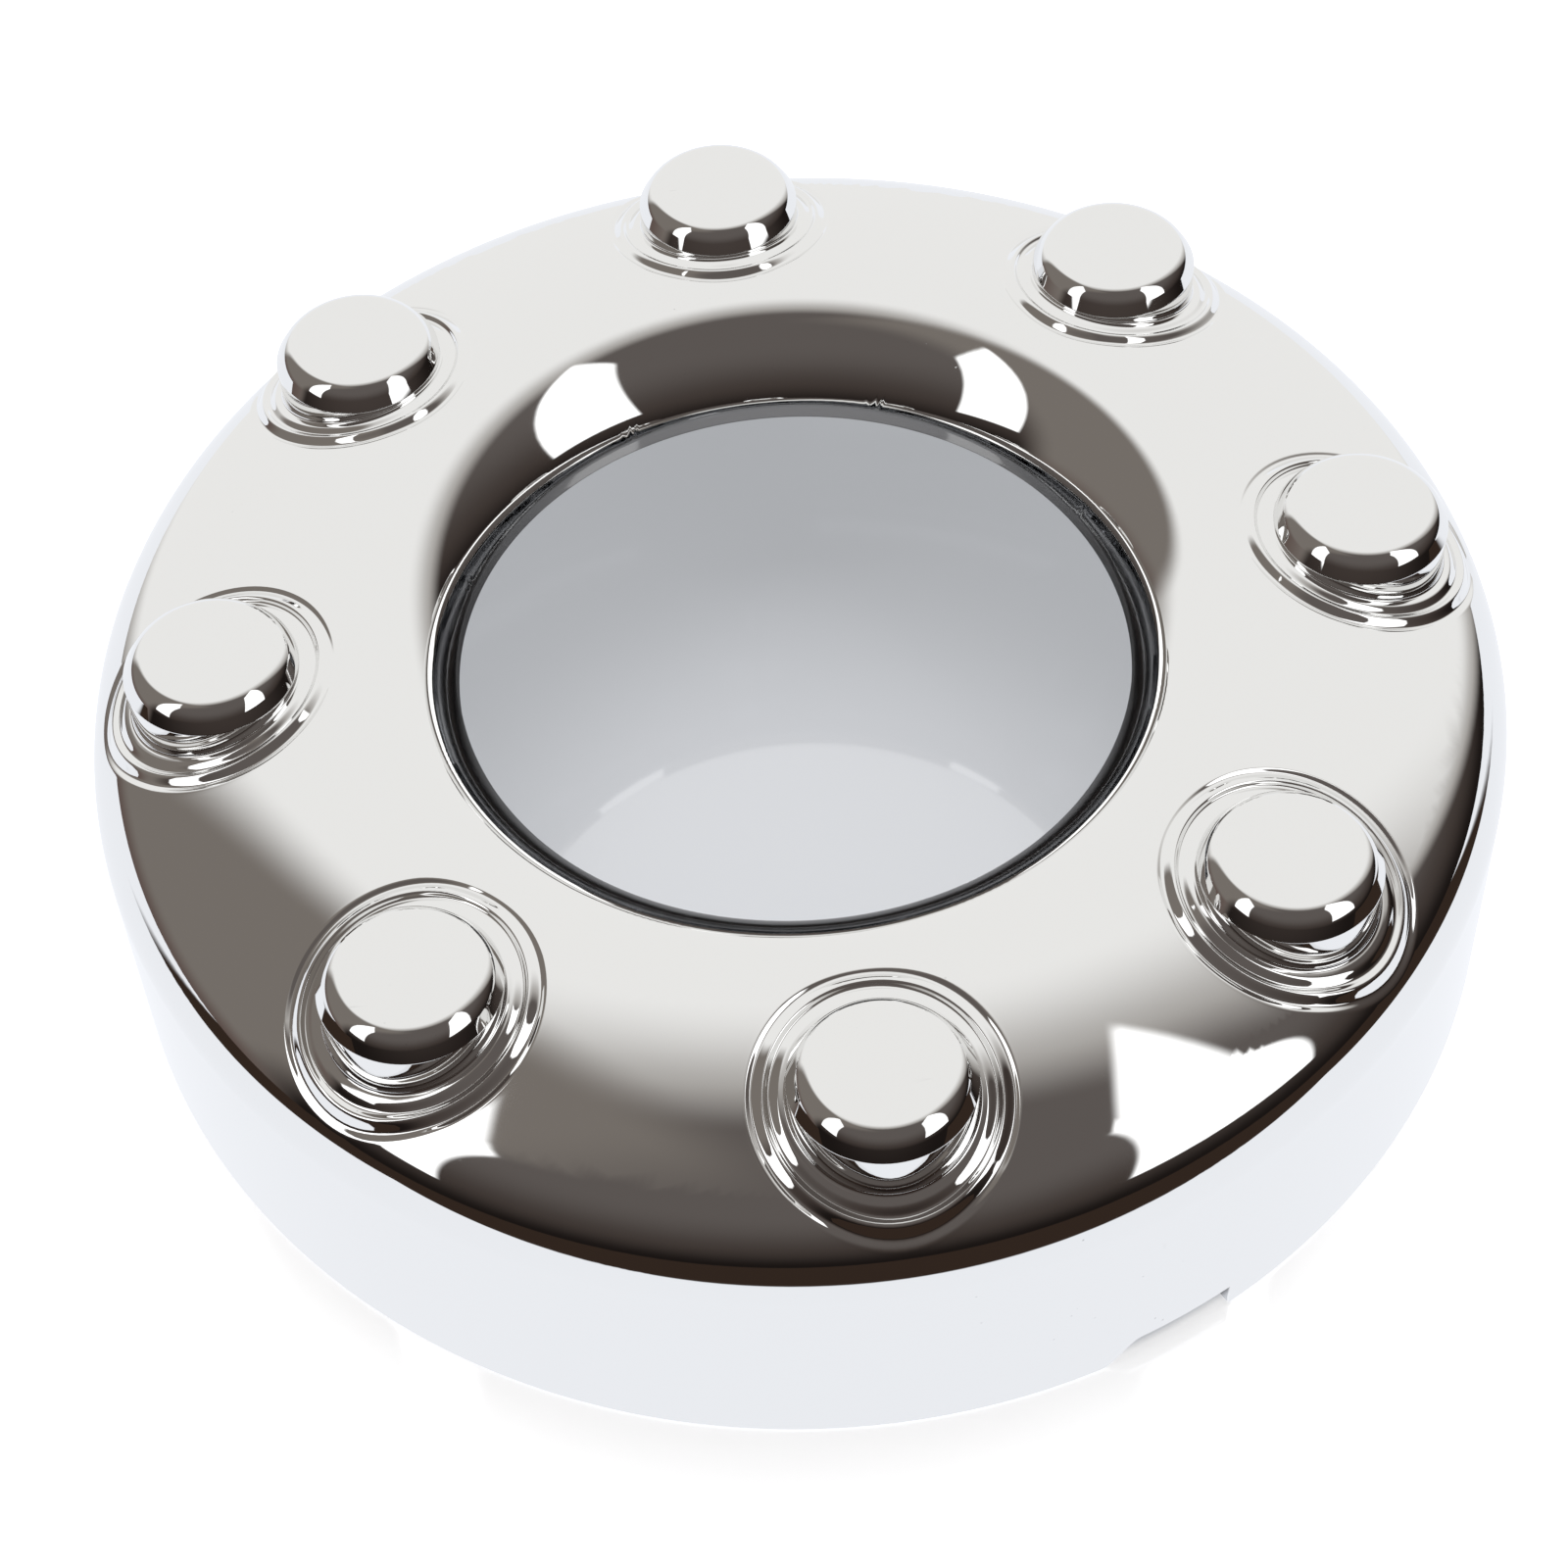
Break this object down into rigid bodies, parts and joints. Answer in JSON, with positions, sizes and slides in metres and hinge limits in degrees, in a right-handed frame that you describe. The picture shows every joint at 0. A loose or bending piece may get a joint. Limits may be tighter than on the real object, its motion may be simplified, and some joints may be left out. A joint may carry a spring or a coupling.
{
  "type": "wheel centre cap",
  "caption": "Bright-plated round open wheel centre cap: a deep ring with a wide hub hole, a straight skirt and raised round covers over the wheel nuts.",
  "frame": {"origin": "centre of the open lower edge of the skirt, in the plane of that edge", "axes": "+Z outboard along the wheel's axis, from the open edge to the nut covers; +Y from the axis through one nut cover; +X to the right of it"},
  "size_m": [0.25, 0.25, 0.0697],
  "materials": {
    "chrome_plate": "bright decorative plating, mirror polished outside, slightly duller inside"
  },
  "bodies": {
    "root": {"cap_shell": "chrome_plate"}
  },
  "joints": []
}
